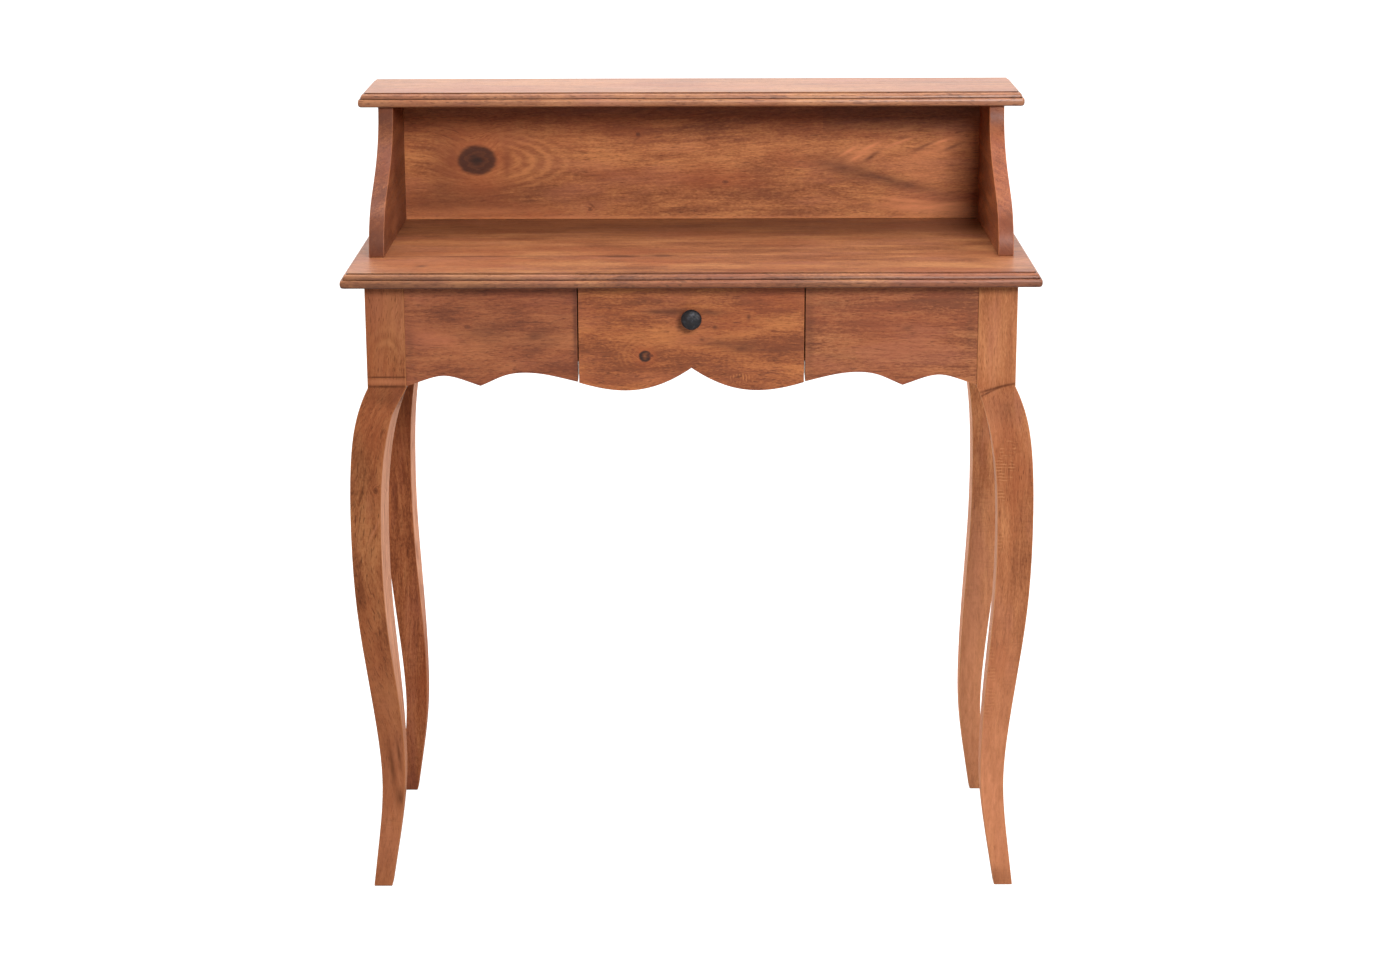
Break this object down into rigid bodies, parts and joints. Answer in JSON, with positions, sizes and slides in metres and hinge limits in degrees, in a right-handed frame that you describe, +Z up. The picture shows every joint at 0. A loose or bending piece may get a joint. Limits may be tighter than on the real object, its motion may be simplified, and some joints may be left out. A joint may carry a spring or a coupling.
{
  "type": "bonheur du jour writing desk",
  "caption": "Small wooden writing desk on cabriole legs with a scalloped apron, a sliding drawer with a round knob, and a raised shelf on scrolled brackets at the back.",
  "frame": {"origin": "on the floor, under the middle of the desktop", "axes": "+X to the sitter's right, +Y to the back of the desk, +Z up"},
  "size_m": [0.802, 0.385, 0.93],
  "materials": {
    "frame_wood": "oiled satin",
    "lining_wood": "planed, unfinished",
    "dowel_wood": "planed, unfinished",
    "knob_iron": "burnished dark",
    "screw_steel": "zinc plated"
  },
  "bodies": {
    "desk": {"apron_back": "frame_wood", "apron_front_left": "frame_wood", "apron_front_right": "frame_wood", "apron_side_left": "frame_wood", "apron_side_right": "frame_wood", "corner_block_front_left": "lining_wood", "corner_block_front_right": "lining_wood", "corner_block_rear_left": "lining_wood", "corner_block_rear_right": "lining_wood", "desktop": "frame_wood", "desktop_screws": "screw_steel", "divider_dowels": "dowel_wood", "divider_left": "lining_wood", "divider_right": "lining_wood", "drawer_stop_left": "lining_wood", "drawer_stop_right": "lining_wood", "gallery_back": "frame_wood", "gallery_back_pins": "screw_steel", "gallery_screws": "screw_steel", "gallery_side_left": "frame_wood", "gallery_side_right": "frame_wood", "leg_front_left": "frame_wood", "leg_front_right": "frame_wood", "leg_rear_left": "frame_wood", "leg_rear_right": "frame_wood", "runner_left": "lining_wood", "runner_right": "lining_wood", "runner_screws": "screw_steel", "shelf_dowels": "dowel_wood", "upper_shelf": "frame_wood"},
    "drawer": {"drawer_front": "frame_wood", "drawer_side_left": "lining_wood", "drawer_side_right": "lining_wood", "drawer_back": "lining_wood", "drawer_bottom": "lining_wood", "drawer_bottom_screws": "screw_steel", "drawer_knob": "knob_iron", "knob_screw": "screw_steel"}
  },
  "joints": [
    {"name": "drawer_slide", "type": "slide", "parent": "desk", "child": "drawer", "axis": [0, -1, 0], "range_m": [0, 0.2]}
  ]
}
